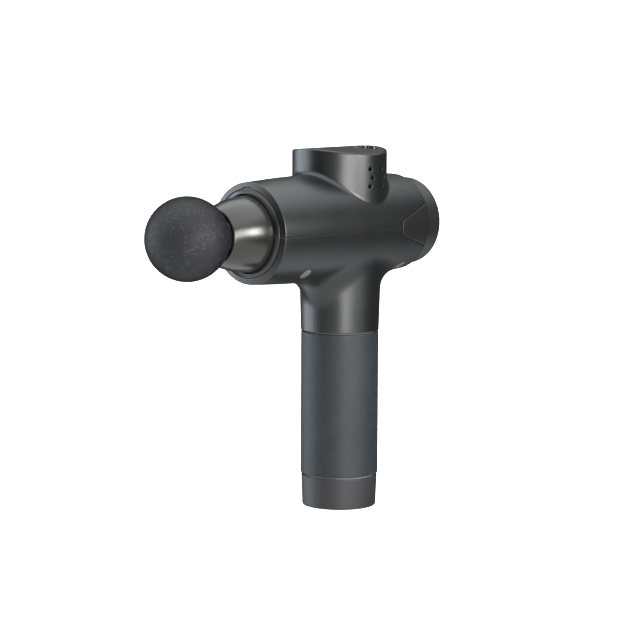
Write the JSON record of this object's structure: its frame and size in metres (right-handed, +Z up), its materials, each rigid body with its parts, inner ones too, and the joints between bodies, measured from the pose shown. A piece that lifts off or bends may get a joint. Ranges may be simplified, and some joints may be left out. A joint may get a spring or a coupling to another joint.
{
  "type": "massage gun",
  "caption": "Hand-held percussion massage gun: round handle with battery, barrel with motor turret, sliding ram and a removable ball head.",
  "frame": {"origin": "centre of the base cap's flat underside, on the handle's axis", "axes": "+Z up along the handle, +X forward along the barrel towards the massage head, +Y to the gun's own left"},
  "size_m": [0.2298, 0.0682, 0.232],
  "materials": {
    "casing": "satin black moulded plastic",
    "nose": "glossy gun-metal lacquer",
    "lens": "smoked gloss window",
    "led": "frosted light guide",
    "keys": "gloss black key",
    "rubber": "soft black rubber",
    "grip": "matte blue-grey silicone",
    "base": "satin warm black plastic",
    "inner_plastic": "grey engineering plastic",
    "rocker": "gloss black rocker",
    "board": "green solder mask",
    "cable": "insulated cable",
    "cast": "die-cast, blasted",
    "steel": "ground steel",
    "magnet": "nickel-plated",
    "copper": "enamelled copper",
    "bronze": "sintered bronze",
    "rod": "machined",
    "screws": "black zinc",
    "cell_wrap": "shrink wrap",
    "foam": "fine-grained closed-cell foam"
  },
  "bodies": {
    "housing": {"upper_shell": "casing", "lower_shell": "casing", "turret_cap": "casing", "rear_cap": "casing", "display_lens": "lens", "display_board": "board", "display_ribbon": "cable", "key_board": "board", "key_ribbon": "cable", "status_led": "led", "front_bezel": "casing", "nose_cone": "nose", "nose_seal": "rubber", "guide_tube": "cast", "guide_bushes": "inner_plastic", "damper_ring": "rubber", "tail_damper": "rubber", "drive_frame": "cast", "frame_screws": "screws", "shaft_bearings": "steel", "motor_stator": "steel", "motor_windings": "copper", "controller_board": "board", "motor_leads": "cable", "battery_leads": "cable", "case_screws": "screws", "screw_plugs": "casing", "grip_tube": "inner_plastic", "grip_sleeve": "grip", "base_cap": "base", "base_screws": "screws", "charge_jack": "inner_plastic", "charge_pin": "bronze", "switch_body": "inner_plastic", "battery_cells": "cell_wrap", "cell_holders": "inner_plastic", "nickel_links": "magnet", "battery_board": "board"},
    "crank": {"crank_disc": "steel", "rotor_can": "steel", "rotor_magnets": "magnet", "motor_shaft": "steel"},
    "ram": {"piston": "steel", "wrist_pin": "steel"},
    "rod": {"connecting_rod": "rod", "big_end_bearing": "steel", "small_end_bush": "bronze", "crank_pin": "steel"},
    "head": {"head_ball": "foam", "head_stem": "inner_plastic", "stem_rings": "rubber"},
    "power_button": {"power_key": "keys"},
    "speed_button": {"speed_key": "keys"},
    "rocker": {"power_rocker": "rocker"}
  },
  "joints": [
    {"name": "crank_spin", "type": "hinge", "parent": "housing", "child": "crank", "pos_m": [0.00115, 0, 0.1806], "axis": [0, 0, 1], "range_deg": [0, 180]},
    {"name": "ram_slide", "type": "slide", "parent": "housing", "child": "ram", "axis": [1, 0, 0], "range_m": [0, 0.012]},
    {"name": "rod_swing", "type": "hinge", "parent": "ram", "child": "rod", "pos_m": [0.04515, 0, 0.1806], "axis": [0, 0, 1], "range_deg": [-6.89, 6.89]},
    {"name": "head_pull", "type": "slide", "parent": "ram", "child": "head", "axis": [1, 0, 0], "range_m": [0, 0.026]},
    {"name": "power_key_press", "type": "slide", "parent": "housing", "child": "power_button", "axis": [0, 0, -1], "range_m": [0, 0.0006]},
    {"name": "speed_key_press", "type": "slide", "parent": "housing", "child": "speed_button", "axis": [0, 0, -1], "range_m": [0, 0.0006]},
    {"name": "rocker_tilt", "type": "hinge", "parent": "housing", "child": "rocker", "pos_m": [-0.0085, 0, 0.0046], "axis": [0, 1, 0], "range_deg": [0, 16]}
  ],
  "couplings": [
    {"joint": "ram_slide", "follows": "crank_spin", "m_per_rad": 0.0038197}
  ]
}
